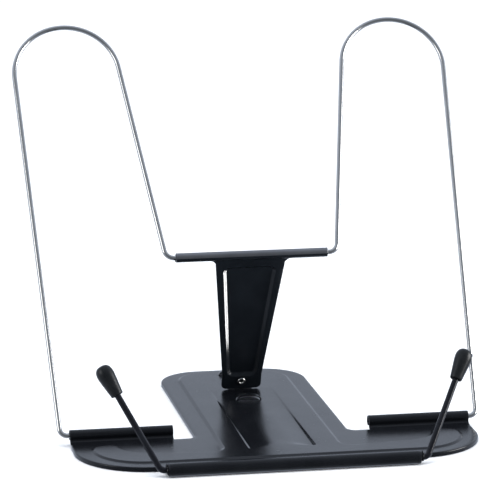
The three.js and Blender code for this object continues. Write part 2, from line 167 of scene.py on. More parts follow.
def new_object(name, verts, faces, weld=0.01):
    """A mesh object from millimetre points, with doubled points joined and loose points removed."""
    mesh = bpy.data.meshes.new(name)
    mesh.from_pydata([tuple(float(c) * MM for c in v) for v in verts], [], faces)
    obj = bpy.data.objects.new(name, mesh)
    bpy.context.scene.collection.objects.link(obj)
    bm = bmesh.new()
    bm.from_mesh(mesh)
    if weld:
        bmesh.ops.remove_doubles(bm, verts=bm.verts, dist=weld * MM)
    loose = [v for v in bm.verts if not v.link_faces]
    bmesh.ops.delete(bm, geom=loose, context="VERTS")
    bm.to_mesh(mesh)
    bm.free()
    return obj


def settle(obj, sharp_deg=38):
    """Applies the object's modifiers and shades it smooth up to the given edge angle."""
    if obj.modifiers:
        graph = bpy.context.evaluated_depsgraph_get()
        mesh = bpy.data.meshes.new_from_object(obj.evaluated_get(graph))
        obj.modifiers.clear()
        obj.data = mesh
    obj.data.shade_smooth()
    obj.data.set_sharp_from_angle(angle=math.radians(sharp_deg))
    return obj


def thicken(obj, thickness, edge=0.22, turns=3):
    """Gives an open surface its sheet thickness below its faces, with rounded cut edges."""
    bm = bmesh.new()
    bm.from_mesh(obj.data)
    bm.normal_update()
    bm.verts.ensure_lookup_table()
    thick, edge = thickness * MM, edge * MM
    points, normals, depths = [], [], []
    for v in bm.verts:
        normal = v.normal.copy()
        lean = min((abs(normal.dot(f.normal)) for f in v.link_faces), default=1.0)
        points.append(v.co.copy())
        normals.append(normal)
        depths.append(thick * min(1.35, 1 / max(lean, 0.3)))
    outward = {}
    rims = [e for e in bm.edges if len(e.link_faces) == 1]
    for e in rims:
        face = e.link_faces[0]
        along = (e.verts[1].co - e.verts[0].co).normalized()
        out = along.cross(face.normal).normalized()
        if out.dot(face.calc_center_median() - e.verts[0].co) > 0:
            out.negate()
        for v in e.verts:
            outward[v.index] = outward.get(v.index, Vector()) + out
    for index, out in outward.items():
        out.normalize()
    faces = [[v.index for v in f.verts] for f in bm.faces]
    loops = []
    for e in rims:
        order = [v.index for v in e.link_faces[0].verts]
        a, b = e.verts[0].index, e.verts[1].index
        if order[(order.index(a) + 1) % len(order)] != b:
            a, b = b, a
        loops.append((a, b))
    bm.free()
    count = len(points)
    verts = list(points) + [p - n * d for p, n, d in zip(points, normals, depths)]
    made = [tuple(f) for f in faces] + [tuple(i + count for i in reversed(f)) for f in faces]
    chains = {}
    for index, out in outward.items():
        p, n, d = points[index], normals[index], depths[index]
        chain = [index]
        verts[index] = p - out * edge
        for k in range(1, turns + 1):
            a = math.pi / 2 * k / turns
            chain.append(len(verts))
            verts.append(p - out * edge * (1 - math.sin(a)) - n * edge * (1 - math.cos(a)))
        for k in range(turns + 1):
            a = math.pi / 2 * k / turns
            if k == turns:
                chain.append(index + count)
                verts[index + count] = p - out * edge - n * d
            else:
                chain.append(len(verts))
                verts.append(p - out * edge * (1 - math.cos(a)) - n * (d - edge * (1 - math.sin(a))))
        chains[index] = chain
    for a, b in loops:
        first, second = chains[a], chains[b]
        for k in range(len(first) - 1):
            made.append((first[k], first[k + 1], second[k + 1], second[k]))
    mesh = bpy.data.meshes.new(obj.name)
    mesh.from_pydata([tuple(v) for v in verts], [], made)
    obj.data = mesh
    return obj


def paint_all(obj, material):
    obj.data.materials.clear()
    obj.data.materials.append(material)


class Surface:
    """Points and faces collected piece by piece."""

    def __init__(self):
        self.verts = []
        self.faces = []

    def add_points(self, points):
        start = len(self.verts)
        self.verts.extend(points)
        return start

    def add_grid(self, rows, flip=False):
        """Rows of equally many points, joined by quads."""
        count = len(rows[0])
        start = self.add_points([p for row in rows for p in row])
        for r in range(len(rows) - 1):
            for c in range(count - 1):
                a = start + r * count + c
                quad = (a, a + 1, a + count + 1, a + count)
                self.faces.append(quad[::-1] if flip else quad)


# ---- paths and sweeps -----------------------------------------------------------------------


def arc_stations(start, heading, end_heading, radius, count):
    turn = heading.angle(end_heading)

    def inward(f):
        mix = end_heading * math.cos(f * turn) - heading * math.cos((1 - f) * turn)
        return mix / math.sin(turn)

    centre = start + inward(0) * radius
    stations = []
    for i in range(count + 1):
        f = i / count
        along = heading * math.sin((1 - f) * turn) + end_heading * math.sin(f * turn)
        stations.append((centre - inward(f) * radius, along / math.sin(turn)))
    return stations


def bend_stations(before, corner, after, radius, count):
    heading = (corner - before).normalized()
    end_heading = (after - corner).normalized()
    reach = radius * math.tan(heading.angle(end_heading) / 2)
    return arc_stations(corner - heading * reach, heading, end_heading, radius, count)


def with_straights(stations, step=12.0):
    """Adds stations along the straight stretches so that no face is very long."""
    out = [stations[0]]
    for point, heading in stations[1:]:
        last, last_heading = out[-1]
        gap = (point - last).length
        pieces = int(gap / step) if gap > 1.5 * step else 0
        for i in range(1, pieces):
            f = i / pieces
            out.append((last.lerp(point, f), last_heading.lerp(heading, f).normalized()))
        out.append((point, heading))
    return out


def sweep(name, stations, radius, sides=28, round_ends=0.5):
    """Round bar along stations, with small rounded end edges and closed ends."""
    first, last = stations[0], stations[-1]
    rings = []

    def end_rings(point, heading, sign):
        rim = []
        for f in (0.0, 0.35, 0.75, 1.0):
            angle = f * math.pi / 2
            rim.append((point + heading * sign * round_ends * (1 - math.cos(angle)),
                        heading, radius - round_ends * (1 - math.sin(angle))))
        return rim

    rings.extend(end_rings(first[0], first[1], 1))
    rings.extend((p, h, radius) for p, h in stations[1:-1])
    rings.extend(reversed(end_rings(last[0], last[1], -1)))
    heading = rings[0][1]
    side = heading.orthogonal().normalized()
    verts = []
    for point, along, r in rings:
        turn = heading.rotation_difference(along)
        side = (turn @ side).normalized()
        side = (side - along * side.dot(along)).normalized()
        heading = along
        other = along.cross(side)
        for k in range(sides):
            a = 2 * math.pi * k / sides
            verts.append(point + side * (r * math.cos(a)) + other * (r * math.sin(a)))
    faces = []
    for i in range(len(rings) - 1):
        for k in range(sides):
            a, b = i * sides + k, i * sides + (k + 1) % sides
            faces.append((a, b, b + sides, a + sides))
    faces.append(tuple(range(sides))[::-1])
    tail = (len(rings) - 1) * sides
    faces.append(tuple(range(tail, tail + sides)))
    return new_object(name, verts, faces, weld=0)


def lathe(name, profile, origin, axis, sides=48):
    """Closed profile of (radius, height) points turned about an axis through origin."""
    axis = Vector(axis).normalized()
    side = axis.orthogonal().normalized()
    other = axis.cross(side)
    verts, faces = [], []
    for r, h in profile:
        for k in range(sides):
            a = 2 * math.pi * k / sides
            verts.append(Vector(origin) + axis * h
                         + side * (r * math.cos(a)) + other * (r * math.sin(a)))
    count = len(profile)
    for i in range(count - 1):
        for k in range(sides):
            a, b = i * sides + k, i * sides + (k + 1) % sides
            faces.append((a, b, b + sides, a + sides))
    obj = new_object(name, verts, faces, weld=0.002)
    bm = bmesh.new()
    bm.from_mesh(obj.data)
    bmesh.ops.dissolve_degenerate(bm, dist=1e-7, edges=bm.edges)
    bmesh.ops.recalc_face_normals(bm, faces=bm.faces)
    bm.to_mesh(obj.data)
    bm.free()
    return obj


# ---- flat outlines --------------------------------------------------------------------------


def line(x0, y0, x1, y1, step=2.0):
    """Points of a straight edge, each with its outward normal; the last point is left out."""
    length = math.hypot(x1 - x0, y1 - y0)
    count = max(1, round(length / step))
    nx, ny = (y1 - y0) / length, -(x1 - x0) / length
    return [(x0 + (x1 - x0) * i / count, y0 + (y1 - y0) * i / count, nx, ny)
            for i in range(count)]


def arc(cx, cy, r, a0, a1, step=1.2):
    """Points of a round edge; clockwise arcs are hollow, so their normals point inwards."""
    a0, a1 = math.radians(a0), math.radians(a1)
    count = max(3, round(abs(a1 - a0) * r / step))
    sign = 1 if a1 > a0 else -1
    points = []
    for i in range(count):
        a = a0 + (a1 - a0) * i / count
        points.append((cx + r * math.cos(a), cy + r * math.sin(a),
                       sign * math.cos(a), sign * math.sin(a)))
    return points


def mirrored(chain):
    """A right-hand chain from front centre to back centre, closed by its mirror image."""
    other = [(-x, y, -nx, ny) for x, y, nx, ny in reversed(chain[1:-1])]
    return chain + other


def panel_chain(grow):
    """Edge of the pressed panel, moved outwards by `grow`."""
    end, front = PANEL_WING_END + grow, PANEL_FRONT - grow
    strip, rear = PANEL_HALF + grow, PANEL_BACK + grow
    big, tip = PANEL_FRONT_CORNER + grow, PANEL_TIP_CORNER + grow
    nail, hollow = PANEL_TIP_INNER + grow, PANEL_HOLLOW_R - grow
    inner = PANEL_TONGUE_CORNER - grow
    bx, by = PANEL_WING_END - PANEL_FRONT_CORNER, PANEL_FRONT + PANEL_FRONT_CORNER
    sx, sy = PANEL_WING_END - PANEL_TIP_CORNER, PANEL_WING_BACK - PANEL_TIP_CORNER
    low, high = PANEL_SLANT - 90.0, PANEL_TIP_TURN
    ox, oy = PANEL_HOLLOW
    nx = ox + (PANEL_HOLLOW_R + PANEL_TIP_INNER) * math.cos(math.radians(high))
    ny = PANEL_WING_BACK - PANEL_TIP_INNER
    hx, hy = PANEL_HALF + PANEL_TONGUE_CORNER, PANEL_BAND_BACK + PANEL_TONGUE_CORNER
    rx, ry = PANEL_HALF - PANEL_CORNER, PANEL_BACK - PANEL_CORNER
    cos_low, sin_low = math.cos(math.radians(low)), math.sin(math.radians(low))
    chain = line(0, front, bx, front)
    chain += arc(bx, by, big, -90, 0)
    chain += line(end, by, end, sy, 1.5)
    chain += arc(sx, sy, tip, 0, 90, 0.8)
    chain += line(sx, sy + tip, nx, ny + nail)
    chain += arc(nx, ny, nail, 90, 180 + PANEL_TIP_TURN, 0.7)
    chain += arc(ox, oy, hollow, high, low, 0.9)
    chain += line(ox + hollow * cos_low, oy + hollow * sin_low,
                  hx + inner * cos_low, hy + inner * sin_low)
    chain += arc(hx, hy, inner, low, -180, 0.6)
    chain += line(strip, hy, strip, ry)
    chain += arc(rx, ry, PANEL_CORNER + grow, 0, 90)
    chain += line(rx, rear, 0, rear)
    chain.append((0, rear, 0, 1))
    return mirrored(chain)


def ramp(t):
    """A straight rise from 0 to 1 with a small bend at each end."""
    t = np.clip(t, 0, 1)
    bend = 0.2
    rise = np.where(t < bend, t * t / (2 * bend), t - bend / 2)
    rise = np.where(t > 1 - bend, 1 - bend - (1 - t) ** 2 / (2 * bend), rise)
    return rise / (1 - bend)


def smooth(t):
    """A rise from 0 to 1 that is level at both ends."""
    t = np.clip(t, 0.0, 1.0)
    return t * t * (3 - 2 * t)


def signed_distance(points, polygon):
    """Distance from each point to a closed polygon, negative inside."""
    a = np.array(polygon)
    b = np.roll(a, -1, axis=0)
    ab = b - a
    best = np.full(len(points), 1e9)
    inside = np.zeros(len(points), bool)
    for start in range(0, len(points), 2000):
        p = points[start:start + 2000, None, :]
        t = np.clip(((p - a) * ab).sum(2) / (ab * ab).sum(1), 0, 1)
        near = a + ab * t[..., None]
        best[start:start + 2000] = np.sqrt(((p - near) ** 2).sum(2)).min(1)
        crosses = (a[:, 1] > p[..., 1]) != (b[:, 1] > p[..., 1])
        at_x = a[:, 0] + (p[..., 1] - a[:, 1]) * ab[:, 0] / np.where(ab[:, 1] == 0, 1e-9, ab[:, 1])
        inside[start:start + 2000] = ((crosses & (p[..., 0] < at_x)).sum(1) % 2) == 1
    return np.where(inside, -best, best)


def triangulate(loops, paths, spots, keep):
    """Flat triangles that follow every loop and path; keep(x, y) says which triangles stay."""
    points, edges = [], []
    for loop in loops:
        start = len(points)
        points.extend(loop)
        count = len(loop)
        edges.extend((start + i, start + (i + 1) % count) for i in range(count))
    for path in paths:
        start = len(points)
        points.extend(path)
        edges.extend((start + i, start + i + 1) for i in range(len(path) - 1))
    points.extend(spots)
    result = delaunay_2d_cdt([Vector(p) for p in points], edges, [], 0, 1e-4)
    verts = np.array([tuple(v) for v in result[0]])
    faces = [tuple(f) for f in result[2]]
    centres = np.array([verts[list(f)].mean(0) for f in faces])
    return verts, [f for f, ok in zip(faces, keep(centres)) if ok]


def open_spots(box, step, lines, clear):
    """Grid points inside a box that stay clear of the given outline points."""
    x0, x1, y0, y1 = box
    xs = np.arange(x0 + step / 2, x1, step)
    ys = np.arange(y0 + step / 2, y1, step)
    spots = np.array([(x, y) for y in ys for x in xs])
    near = np.array(lines)
    keep = np.ones(len(spots), bool)
    for start in range(0, len(spots), 2000):
        part = spots[start:start + 2000, None, :]
        keep[start:start + 2000] = (((part - near) ** 2).sum(2).min(1)) > clear ** 2
    return [tuple(p) for p in spots[keep]]


# ---- base plate -----------------------------------------------------------------------------


def base_chain():
    """Edge of the flat top with a label per point: what the sheet does beyond that edge."""
    b = RIM_BEND
    rise = ROLL_Y - HINGE_Y + ROLL_RISE_START
    front = WING_FRONT + b
    cx, cy = WING_HALF - WING_CORNER, WING_FRONT + WING_CORNER
    side = WING_HALF - b
    neck = NECK_BACK - b
    tongue = TONGUE_HALF - b
    parts = [
        ("roll", line(0, rise, ROLL_HALF, rise, 1.5)),
        ("edge", line(ROLL_HALF, rise, ROLL_HALF, front - 3.5)),
        ("rim", arc(ROLL_HALF + 3.5, front - 3.5, 3.5, 180, 90, 0.6)),
        ("rim", line(ROLL_HALF + 3.5, front, cx + 0.4, front, 0.5)),
        ("rim", arc(cx, cy, WING_CORNER - b, -89, 0)),
        ("rim", line(side, cy, side, BARREL_TOE)),
        ("edge", line(side, BARREL_TOE, BARREL_OUT, BARREL_TOE)),
        ("barrel", line(BARREL_OUT, BARREL_TOE, BARREL_IN, BARREL_TOE, 1.5)),
        ("edge", line(BARREL_IN, BARREL_TOE, BARREL_IN - 0.6, neck)),
        ("rim", line(BARREL_IN - 0.6, neck, TONGUE_HALF + NECK_FILLET, neck, 1.5)),
        ("rim", arc(TONGUE_HALF + NECK_FILLET, neck + NECK_FILLET + b, NECK_FILLET + b,
                    -90, -180, 0.8)),
        ("rim", line(tongue, neck + NECK_FILLET + b, tongue, TONGUE_BACK - TONGUE_CORNER)),
        ("rim", arc(TONGUE_HALF - TONGUE_CORNER, TONGUE_BACK - TONGUE_CORNER,
                    TONGUE_CORNER - b, 0, 90)),
        ("rim", line(TONGUE_HALF - TONGUE_CORNER, TONGUE_BACK - b, 0, TONGUE_BACK - b)),
    ]
    chain = [(label, point) for label, points in parts for point in points]
    chain.append(("rim", (0, TONGUE_BACK - b, 0, 1)))
    # On the left half each label has to name the segment that follows, so it shifts by one.
    left = []
    for i in range(len(chain) - 2, 0, -1):
        x, y, nx, ny = chain[i][1]
        left.append((chain[i - 1][0], (-x, y, -nx, ny)))
    chain[-1] = (chain[-2][0], chain[-1][1])
    return chain + left


def louvre_footprint(mouth, count=28):
    """Rear edge of one lanced dome, from its right corner round to its left one."""
    points = []
    for i in range(count + 1):
        a = math.pi * i / count
        points.append((LOUVRE_HALF * math.cos(a), mouth + LOUVRE_LENGTH * math.sin(a)))
    return points


def plate_height(points, panel):
    """Height of the pressed top at flat points given from the hinge axis."""
    x, y = points[:, 0], points[:, 1]
    away = signed_distance(points, panel)
    height = PLATE_TOP + PANEL_STEP * ramp(0.5 - away / PANEL_STEP_RUN)
    run = np.clip((CHANNEL_BACK - y) / (CHANNEL_BACK - CHANNEL_FRONT), 0, 1)
    inward = np.clip(CHANNEL_HALF - np.abs(x), 0, None)
    nose = smooth((y - (CHANNEL_FRONT - 2.0 + 0.25 * inward)) / (2.6 + 0.5 * inward))
    wall = smooth(0.5 + (CHANNEL_HALF - np.abs(x)) / 2.0)
    fade = 1 - smooth((inward - 1.2) / 15.0)
    return height - CHANNEL_DEPTH * run ** 0.9 * nose * wall * (0.1 + 0.9 * fade)


def louvre_dome(surface, mouth, base_height):
    """Half dome over one lanced slot: open at the front, running out flat at the back."""
    rings, count = 14, 28
    rows = []
    for j in range(rings + 1):
        s = 1 - (1 - j / rings) ** 1.6
        row = []
        for i in range(count + 1):
            a = math.pi * i / count
            rim = 1 - s
            lift = LOUVRE_RISE * (1 - rim ** 2.3) ** 0.5 if rim < 1 else 0.0
            row.append((LOUVRE_HALF * rim * math.cos(a),
                        mouth + LOUVRE_LENGTH * rim * math.sin(a) + HINGE_Y,
                        base_height(rim * LOUVRE_HALF * math.cos(a),
                                    mouth + LOUVRE_LENGTH * rim * math.sin(a)) + lift))
        rows.append(row)
    surface.add_grid(rows)


def curled_strip(surface, xs, path, corner=None):
    """Runs the sheet on from an edge along X through (y, z) path points."""
    rows = []
    for x in xs:
        limit = corner(x) if corner else 1.0
        rows.append([(x,) + path(t * limit) for t in np.linspace(0, 1, 44)])
    surface.add_grid(rows)


def roll_path(t):
    """Front hem: rises off the plate, then rolls over the front and under."""
    s = t * (ROLL_RISE_LENGTH + ROLL_TURN * ROLL_R)
    if s < ROLL_RISE_LENGTH:
        f = s / ROLL_RISE_LENGTH
        y = ROLL_Y + ROLL_RISE_START * (1 - f)
        return y, PLATE_TOP + (2 * ROLL_R - PLATE_TOP) * float(smooth(f ** 1.15))
    a = math.pi / 2 + (s - ROLL_RISE_LENGTH) / ROLL_R
    return ROLL_Y + ROLL_R * math.cos(a), ROLL_Z + ROLL_R * math.sin(a)


def roll_corner(x):
    """The free edge of the hem is rounded off at both ends."""
    over = max(0.0, abs(x) - (ROLL_HALF - ROLL_CORNER)) / ROLL_CORNER
    return 1.0 - 0.36 * (1 - math.sqrt(max(0.0, 1 - over * over)))


def barrel_path(t):
    """Hinge barrel: a hollow bend up to a neck, then a curl backwards over the wire."""
    rise = HINGE_Z - PLATE_TOP - 2.0
    start, end = math.radians(207), math.radians(-70)
    split = 0.27
    if t < split:
        a = t / split * math.pi / 2
        return (HINGE_Y + BARREL_TOE + (BARREL_NECK - BARREL_TOE) * math.sin(a),
                PLATE_TOP + rise * (1 - math.cos(a)))
    a = start + (end - start) * (t - split) / (1 - split)
    return HINGE_Y + BARREL_R * math.cos(a), HINGE_Z + BARREL_R * math.sin(a)


def build_base():
    chain = base_chain()
    outline = [(p[0], p[1]) for _, p in chain]
    panel = [(p[0], p[1]) for p in panel_chain(0.0)]
    loops = [outline]
    for grow in (-1.4, -1.1, -0.7, 0.0, 0.7, 1.1, 1.4):
        loops.append([(p[0], p[1]) for p in panel_chain(grow)])
    paths = []
    for side in (-1, 1):
        for shift in (-12.1, -8.0, -4.5, -2.2, -1.1, -0.7, -0.35, 0.0, 0.35, 0.7, 1.1):
            x = side * (CHANNEL_HALF + shift)
            ys = np.concatenate([np.linspace(CHANNEL_FRONT - 3, CHANNEL_FRONT + 3, 13),
                                 np.arange(CHANNEL_FRONT + 4.5, CHANNEL_BACK + 1, 2.2)])
            paths.append([(x, y) for y in ys])
    for mouth in LOUVRE_MOUTHS:
        foot = louvre_footprint(mouth)
        front = [(x, mouth) for x in np.linspace(-LOUVRE_HALF, LOUVRE_HALF, 16)][1:-1]
        loops.append(foot + front)
    drawn = [p for loop in loops for p in loop] + [p for path in paths for p in path]
    spots = open_spots((-WING_HALF, WING_HALF, WING_FRONT - 8, TONGUE_BACK), 3.4, drawn, 1.6)

    def keep(centres):
        inside = signed_distance(centres, outline) < 0
        for mouth in LOUVRE_MOUTHS:
            hole = ((centres[:, 0] / LOUVRE_HALF) ** 2
                    + ((centres[:, 1] - mouth) / LOUVRE_LENGTH) ** 2)
            inside &= ~((hole < 1) & (centres[:, 1] > mouth))
        return inside

    flat, faces = triangulate(loops, paths, spots, keep)
    heights = plate_height(flat, panel)
    surface = Surface()
    surface.add_points([(x, y + HINGE_Y, z) for (x, y), z in zip(flat, heights)])
    surface.faces.extend(faces)

    def local_height(x, y):
        return float(plate_height(np.array([(x, y)]), panel)[0])

    for mouth in LOUVRE_MOUTHS:
        louvre_dome(surface, mouth, local_height)
    add_rim(surface, chain)
    front = [p[0] for label, p in chain if label == "roll"]
    xs = sorted(set(round(x, 6) for x in front + [-x for x in front] + [ROLL_HALF]))
    curled_strip(surface, xs, roll_path, roll_corner)
    back = [p[0] for label, p in chain if label == "barrel" and p[0] > 0] + [BARREL_IN]
    for side in (-1, 1):
        xs = sorted(side * x for x in set(round(x, 6) for x in back))
        curled_strip(surface, xs[::-1], barrel_path)
    obj = new_object("base_sheet", surface.verts, surface.faces, weld=0.02)
    return settle(thicken(obj, SHEET))


def add_rim(surface, chain):
    """Turned-down edge: a quarter bend and a short wall along every stretch marked rim."""
    count = len(chain)
    rows = []

    def rim_row(point):
        x, y, nx, ny = point
        row = []
        for i in range(7):
            a = math.pi / 2 * i / 6
            out = RIM_BEND * math.sin(a)
            row.append((x + nx * out, y + ny * out + HINGE_Y,
                        PLATE_TOP - RIM_BEND * (1 - math.cos(a))))
        last = row[-1]
        row.append((last[0], last[1], last[2] / 2))
        row.append((last[0], last[1], 0.0))
        return row

    for i in range(count + 1):
        label, point = chain[i % count]
        if rows:
            rows.append(rim_row(point))
            if label != "rim" or i == count:
                surface.add_grid(rows)
                rows = []
        elif label == "rim" and i < count:
            rows = [rim_row(point)]


# ---- back frame -----------------------------------------------------------------------------


def frame_point(u, v):
    return Vector((u, HINGE_Y + v * math.cos(LEAN), HINGE_Z + v * math.sin(LEAN)))


def ear_touch(u, v, side):
    away = math.atan2(v - EAR_UP, u - EAR_HALF)
    half = math.acos(EAR_R / math.hypot(u - EAR_HALF, v - EAR_UP))
    a = away + side * half
    return frame_point(EAR_HALF + EAR_R * math.cos(a), EAR_UP + EAR_R * math.sin(a))


def build_frame():
    middle, bar_corner = frame_point(0, BAR_UP), frame_point(BAR_HALF, BAR_UP)
    inner, outer = ear_touch(BAR_HALF, BAR_UP, -1), ear_touch(LEG_HALF, 0, 1)
    leg_corner, end = frame_point(LEG_HALF, 0), frame_point(LEG_END, 0)
    right = bend_stations(middle, bar_corner, inner, BAR_BEND, 14)
    right += arc_stations(inner, (inner - bar_corner).normalized(),
                          (leg_corner - outer).normalized(), EAR_R, 72)
    right += bend_stations(outer, leg_corner, end, LEG_BEND, 14)
    right.append((end, (end - leg_corner).normalized()))
    left = [(Vector((-p.x, p.y, p.z)), Vector((h.x, -h.y, -h.z))) for p, h in reversed(right)]
    return settle(sweep("back_wire", with_straights(left + right), WIRE_R, 32))


# ---- prop, hook and rivet -------------------------------------------------------------------


def on_prop(x, y, z):
    """A point drawn flat on the prop, in the stand's frame."""
    c, s = math.cos(PROP_LEAN), math.sin(PROP_LEAN)
    return (x, BAR_Y - y * s - z * c, BAR_Z + y * c - z * s)


def prop_half(down):
    taper = (PROP_TOP_HALF - PROP_FOOT_HALF) / PROP_TAPER_END
    return PROP_TOP_HALF - taper * down


def prop_chain():
    corner, fillet = 3.5, 4.0
    neck = prop_half(PROP_FLANGE + fillet)
    foot, end = PROP_FOOT_HALF, -PROP_END
    chain = line(0, end, foot - corner, end, 1.5)
    chain += arc(foot - corner, end + corner, corner, -90, 0, 0.5)
    chain += line(foot, end + corner, foot, -PROP_TAPER_END, 1.5)
    chain += line(foot, -PROP_TAPER_END, neck, -PROP_FLANGE - fillet, 1.5)
    chain += arc(neck + fillet, -PROP_FLANGE - fillet, fillet, 180, 90, 0.6)
    chain += line(neck + fillet, -PROP_FLANGE, CURL_HALF - 0.8, -PROP_FLANGE, 1.2)
    chain += line(CURL_HALF - 0.8, -PROP_FLANGE, CURL_HALF, -PROP_FLANGE + 0.8, 1.2)
    chain += line(CURL_HALF, -PROP_FLANGE + 0.8, CURL_HALF, 0, 1.2)
    chain += line(CURL_HALF, 0, 0, 0, 1.5)
    chain.append((0, 0, 0, 1))
    return mirrored(chain)


def dish_chain(grow):
    """Edge of the dished panel's floor, moved outwards by `grow`."""
    top, bottom = DISH_TOP + grow, DISH_BOTTOM - grow
    top_half, bottom_half = DISH_TOP_HALF + grow, DISH_BOTTOM_HALF + grow
    r = DISH_CORNER + grow
    slope = math.degrees(math.atan2(top_half - bottom_half, top - bottom))
    chain = line(0, bottom, bottom_half - r, bottom, 1.2)
    chain += arc(bottom_half - r, bottom + r, r, -90, -slope, 0.5)
    chain += line(bottom_half + 0.1, bottom + r, top_half - 0.1, top - r, 1.5)
    chain += arc(top_half - r, top - r, r, -slope, 90, 0.5)
    chain += line(top_half - r, top, 0, top, 1.2)
    chain.append((0, top, 0, 1))
    return mirrored(chain)


def build_prop():
    front = -CURL_INNER
    outline = [(p[0], p[1]) for p in prop_chain()]
    floor = [(p[0], p[1]) for p in dish_chain(0.0)]
    loops = [outline]
    for grow in (-0.4, 0.0, 0.3, 0.6, 1.5, 2.3, 2.6, 2.9, 3.3):
        loops.append([(p[0], p[1]) for p in dish_chain(grow)])
    hole = [(RIVET_HOLE_R * math.cos(a), -RIVET_DOWN + RIVET_HOLE_R * math.sin(a))
            for a in np.linspace(0, 2 * math.pi, 24, endpoint=False)]
    loops.append(hole)
    drawn = [p for loop in loops for p in loop]
    spots = open_spots((-CURL_HALF, CURL_HALF, -PROP_END, 0), 2.8, drawn, 1.3)

    def keep(centres):
        return ((signed_distance(centres, outline) < 0)
                & (np.hypot(centres[:, 0], centres[:, 1] + RIVET_DOWN) > 1.72))

    flat, faces = triangulate(loops, [], spots, keep)
    away = signed_distance(flat, floor)
    depth = DISH_DEPTH * (1 - ramp(away / DISH_WALL))
    # The crease a little below the bar where the plate sets back from the curl.
    crease = 0.35 * smooth((-flat[:, 1] - 6.6) / 1.6)
    surface = Surface()
    surface.add_points([on_prop(x, y, front - d - k) for (x, y), d, k in zip(flat, depth, crease)])
    surface.faces.extend(faces)
    xs = sorted(set(round(p[0], 6) for p in prop_chain() if abs(p[1]) < 1e-6)
                | {CURL_HALF, -CURL_HALF})
    rows = []
    for x in xs:
        row = []
        for t in np.linspace(0, 1, 40):
            a = math.pi - t * CURL_TURN
            row.append(on_prop(x, CURL_INNER * math.sin(a), CURL_INNER * math.cos(a)))
        rows.append(row)
    surface.add_grid(rows, flip=True)
    obj = new_object("prop_sheet", surface.verts, surface.faces, weld=0.02)
    return settle(thicken(obj, SHEET))


def build_hook():
    """Bent tab behind the foot, with a level lip that meets a louvre."""
    front = -CURL_INNER - SHEET - 0.3
    top, end, reach = 101.0, 112.0, 2.7
    level = (-math.sin(PROP_LEAN), -math.cos(PROP_LEAN))
    centre_line = [(-top, front), (-end + 1.2, front)]
    start, mid = (-end + 1.2, front), (-end, front)
    stop = (-end + 1.2 * level[0], front + 1.2 * level[1])
    for i in range(1, 7):
        f = i / 6
        bend = (1 - f) ** 2, 2 * f * (1 - f), f * f
        centre_line.append(tuple(sum(w * p[k] for w, p in zip(bend, (start, mid, stop)))
                                 for k in (0, 1)))
    centre_line.append((-end + reach * level[0], front + reach * level[1]))
    surface = Surface()
    rows = []
    half, corner = 4.5, 1.5
    for x in np.linspace(-half, half, 13):
        inset = 0.0
        edge = half - abs(x)
        if edge < corner:
            inset = corner - math.sqrt(max(0.0, corner ** 2 - (corner - edge) ** 2))
        first = (centre_line[0][0] - inset, centre_line[0][1])
        rows.append([on_prop(x, *p) for p in [first] + centre_line[1:]])
    surface.add_grid(rows)
    obj = new_object("hook_sheet", surface.verts, surface.faces)
    bm = bmesh.new()
    bm.from_mesh(obj.data)
    bmesh.ops.recalc_face_normals(bm, faces=bm.faces)
    towards_front = Vector(on_prop(0, 0, 1)) - Vector(on_prop(0, 0, 0))
    if sum(f.normal.dot(towards_front) for f in bm.faces) < 0:
        bmesh.ops.reverse_faces(bm, faces=bm.faces)
    bm.to_mesh(obj.data)
    bm.free()
    return settle(thicken(obj, SHEET))


def build_rivet():
    """Hollow rivet: a rolled bright ring on the front and a spread collar behind."""
    front = -CURL_INNER - 0.35
    back = front - 2 * SHEET - 0.05
    ring = [(1.15, back - 0.7), (2.2, back - 0.7), (2.4, back - 0.35), (2.2, back - 0.2),
            (1.45, back - 0.2), (1.45, front + 0.15), (2.75, front + 0.15)]
    for i in range(9):
        a = math.radians(-20 + i * 25)
        ring.append((2.0 + 0.78 * math.cos(a), front + 0.55 + 0.55 * math.sin(a)))
    ring += [(1.15, front + 0.3), (1.15, back - 0.7)]
    origin = Vector(on_prop(0, -RIVET_DOWN, 0))
    axis = Vector(on_prop(0, -RIVET_DOWN, 1)) - origin
    return settle(lathe("eyelet", ring, origin, axis), 50)


# ---- page arms and caps ---------------------------------------------------------------------


def arm_heading(side):
    return Vector((side * math.sin(ARM_SPLAY),
                   math.cos(ARM_SPLAY) * math.sin(ARM_LEAN),
                   math.cos(ARM_SPLAY) * math.cos(ARM_LEAN)))


def arm_at(side, distance):
    return Vector((side * ARM_ROOT, ROLL_Y, ROLL_Z)) + arm_heading(side) * distance


def build_arm(side, name):
    inner = Vector((side * ARM_TAIL, ROLL_Y, ROLL_Z))
    tip = arm_at(side, ARM_LENGTH)
    stations = [(inner, Vector((side, 0, 0)))]
    stations += bend_stations(inner, arm_at(side, 0), tip, ARM_BEND, 14)
    stations.append((tip, arm_heading(side)))
    return settle(sweep(name, with_straights(stations, 8.0), ARM_R, 32))


def build_cap(side, name):
    depth = ARM_LENGTH - CAP_START + 0.3
    gap = ARM_R + 0.15
    outer = [(3.62, 0.0), (3.86, 0.12), (4.02, 0.42), (4.18, 1.7), (4.46, 4.0), (4.82, 6.8),
             (5.18, 9.7), (5.48, 12.2), (5.65, 14.0), (5.7, 15.2), (5.62, 16.5),
             (5.38, 17.8), (4.98, 18.9), (4.4, 19.8), (3.66, 20.5), (2.7, 21.0),
             (1.55, 21.24), (0.0, CAP_LENGTH)]
    inner = [(0.0, depth), (gap * 0.6, depth), (gap, depth - 0.6), (gap, 1.2), (gap + 0.2, 0.35),
             (gap + 0.55, 0.0)]
    cap = lathe(name, inner + outer, arm_at(side, CAP_START), arm_heading(side), 56)
    fine = cap.modifiers.new("round", "SUBSURF")
    fine.levels = fine.render_levels = 1
    return settle(cap, 60)


# ---- materials ------------------------------------------------------------------------------


